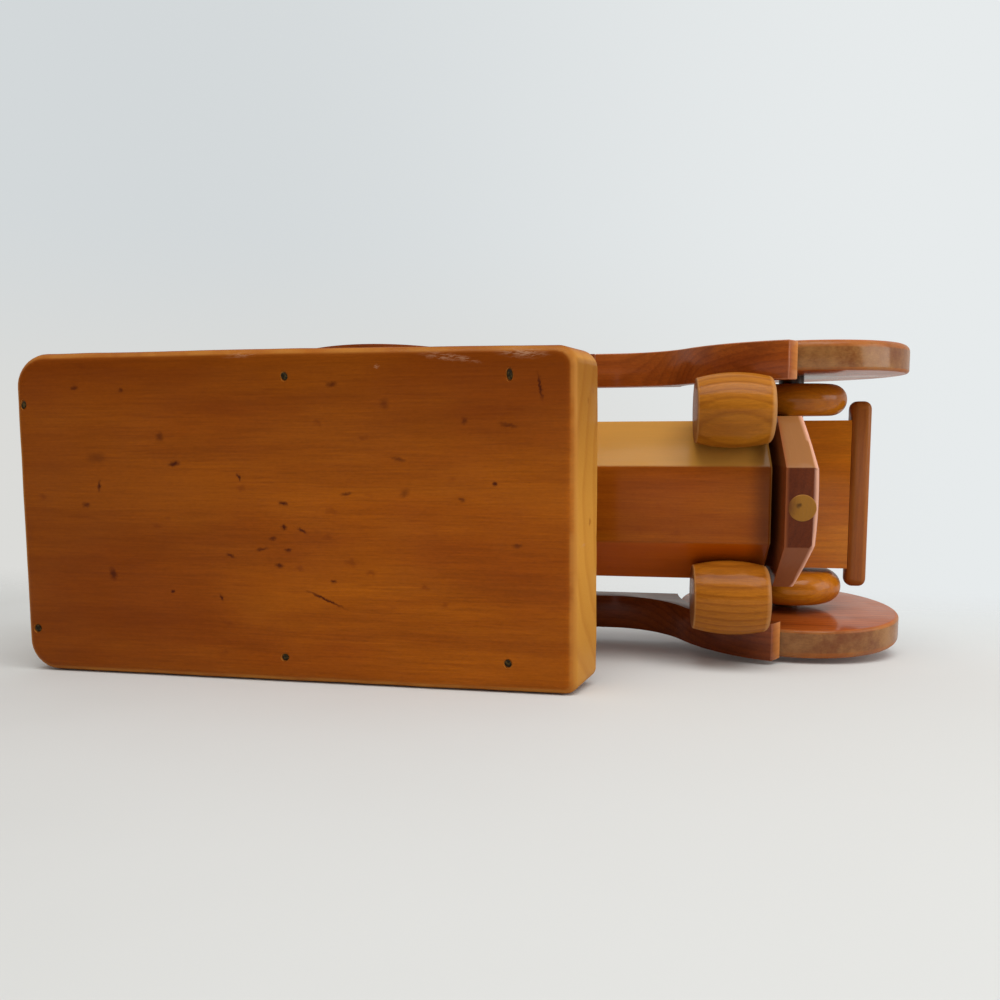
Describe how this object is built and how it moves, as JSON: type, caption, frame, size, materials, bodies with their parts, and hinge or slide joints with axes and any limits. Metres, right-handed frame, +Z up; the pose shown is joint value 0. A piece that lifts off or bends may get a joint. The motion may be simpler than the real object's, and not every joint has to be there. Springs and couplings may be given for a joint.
{
  "type": "wooden toy car",
  "caption": "Old-style wooden toy saloon car with a slab roof, sloped hood, barrel headlights, swept fenders and disc wheels on turning dowel axles.",
  "frame": {"origin": "middle of the car's footprint, on the ground under the wheels", "axes": "+X forward to the radiator, +Y to the car's left, +Z up"},
  "size_m": [0.2992, 0.1156, 0.1494],
  "materials": {
    "honey_pine": "honey stain under gloss lacquer",
    "red_brown_stain": "red-brown stain, satin",
    "bare_dowel": "pale dowel, thin lacquer",
    "dark_iron": "dull oxidised iron"
  },
  "bodies": {
    "car": {"chassis": "honey_pine", "cab_floor": "honey_pine", "cab_side_left": "honey_pine", "cab_side_right": "honey_pine", "cab_rear_panel": "honey_pine", "dash_panel": "honey_pine", "roof": "honey_pine", "hood": "honey_pine", "headlight_left": "honey_pine", "headlight_right": "honey_pine", "radiator": "red_brown_stain", "front_bumper": "red_brown_stain", "front_fender_left": "red_brown_stain", "front_fender_right": "red_brown_stain", "rear_fender_left": "red_brown_stain", "rear_fender_right": "red_brown_stain", "running_board_left": "red_brown_stain", "running_board_right": "red_brown_stain", "radiator_cap": "bare_dowel", "headlight_pins": "bare_dowel", "board_dowels": "bare_dowel", "roof_brads": "dark_iron", "bumper_brads": "dark_iron"},
    "front_wheels": {"front_axle": "bare_dowel", "front_wheel_left": "red_brown_stain", "front_wheel_right": "red_brown_stain", "front_hub_left": "honey_pine", "front_hub_right": "honey_pine"},
    "rear_wheels": {"rear_axle": "bare_dowel", "rear_wheel_left": "red_brown_stain", "rear_wheel_right": "red_brown_stain", "rear_collar_left": "bare_dowel", "rear_collar_right": "bare_dowel"}
  },
  "joints": [
    {"name": "front_axle_turn", "type": "hinge", "parent": "car", "child": "front_wheels", "pos_m": [0.10805, 0, 0.0416], "axis": [0, 1, 0], "continuous": true},
    {"name": "rear_axle_turn", "type": "hinge", "parent": "car", "child": "rear_wheels", "pos_m": [-0.05215, 0, 0.0416], "axis": [0, 1, 0], "continuous": true}
  ]
}
